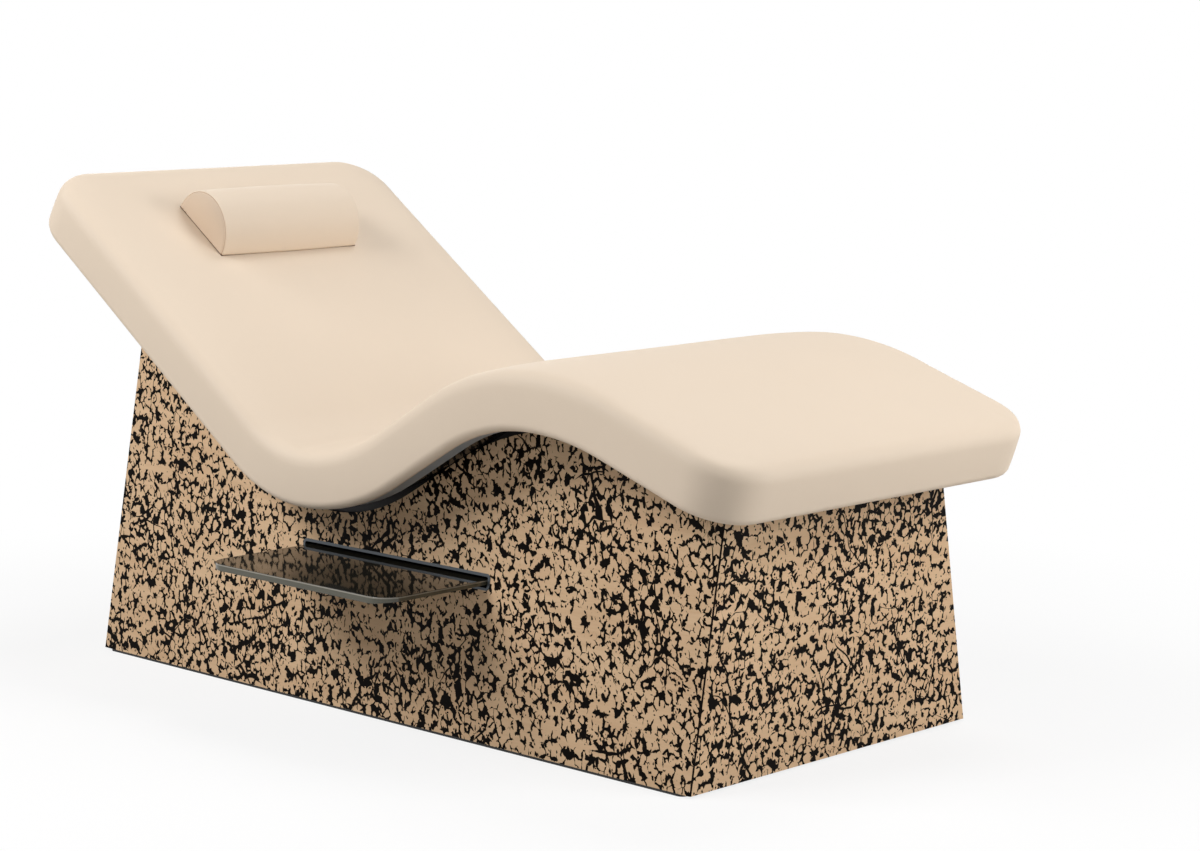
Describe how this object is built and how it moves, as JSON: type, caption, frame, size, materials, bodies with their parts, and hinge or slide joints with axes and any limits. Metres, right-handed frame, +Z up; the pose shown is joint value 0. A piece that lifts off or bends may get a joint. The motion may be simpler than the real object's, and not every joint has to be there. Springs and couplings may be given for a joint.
{
  "type": "spa relaxation lounger",
  "caption": "Wave-shaped padded relaxation lounger on a clad wooden base, with a smoked tray that slides out of one side wall and a half-round head bolster on the backrest",
  "frame": {"origin": "Centre of the base's rectangle on the floor", "axes": "+X along the length toward the foot end, +Y toward the wall without the tray, +Z up"},
  "size_m": [1.7552, 0.9402, 0.8977],
  "materials": {
    "printed_wood": "satin laminate with a dark printed pattern",
    "black_board": "black-stained board",
    "black_plastic": "matt black plastic",
    "plain_wood": "raw planed wood",
    "zinc_steel": "zinc-plated steel",
    "dark_laminate": "glossy dark laminate",
    "grey_laminate": "glossy grey laminate",
    "cream_upholstery": "smooth cream synthetic leather",
    "trim_metal": "brushed and anodised",
    "runner_metal": "mill finish",
    "black_rubber": "matt black rubber",
    "smoked_acrylic": "polished smoked acrylic",
    "brown_grip": "matt brown non-slip pad"
  },
  "bodies": {
    "base": {"floor_board": "black_plastic", "near_side_panel": "printed_wood", "far_side_panel": "printed_wood", "head_end_panel": "printed_wood", "foot_end_panel": "printed_wood", "near_side_liner": "black_board", "far_side_liner": "black_board", "head_end_liner": "black_board", "foot_end_liner": "black_board", "corner_battens": "plain_wood", "head_bulkhead": "plain_wood", "foot_bulkhead": "plain_wood", "shell_cleats": "plain_wood", "shell_bolts": "zinc_steel", "support_shell": "dark_laminate", "shell_rim": "grey_laminate", "mattress": "cream_upholstery", "slot_trim": "trim_metal", "deck_bearers": "plain_wood", "tray_deck": "black_board", "tray_runners": "runner_metal", "runner_linings": "black_plastic", "runner_screws": "zinc_steel", "runner_stops": "black_plastic", "rear_buffers": "black_rubber"},
    "tray": {"tray_plate": "smoked_acrylic", "tray_stop_bar": "black_plastic"},
    "bolster": {"bolster_cushion": "cream_upholstery", "bolster_board": "plain_wood", "bolster_grip_pad": "brown_grip"}
  },
  "joints": [
    {"name": "tray_slide", "type": "slide", "parent": "base", "child": "tray", "axis": [0, -1, 0], "range_m": [-0.226, 0]},
    {"name": "bolster_slide", "type": "slide", "parent": "base", "child": "bolster", "axis": [-0.8192, 0, 0.5736], "range_m": [-0.12, 0.08]}
  ]
}
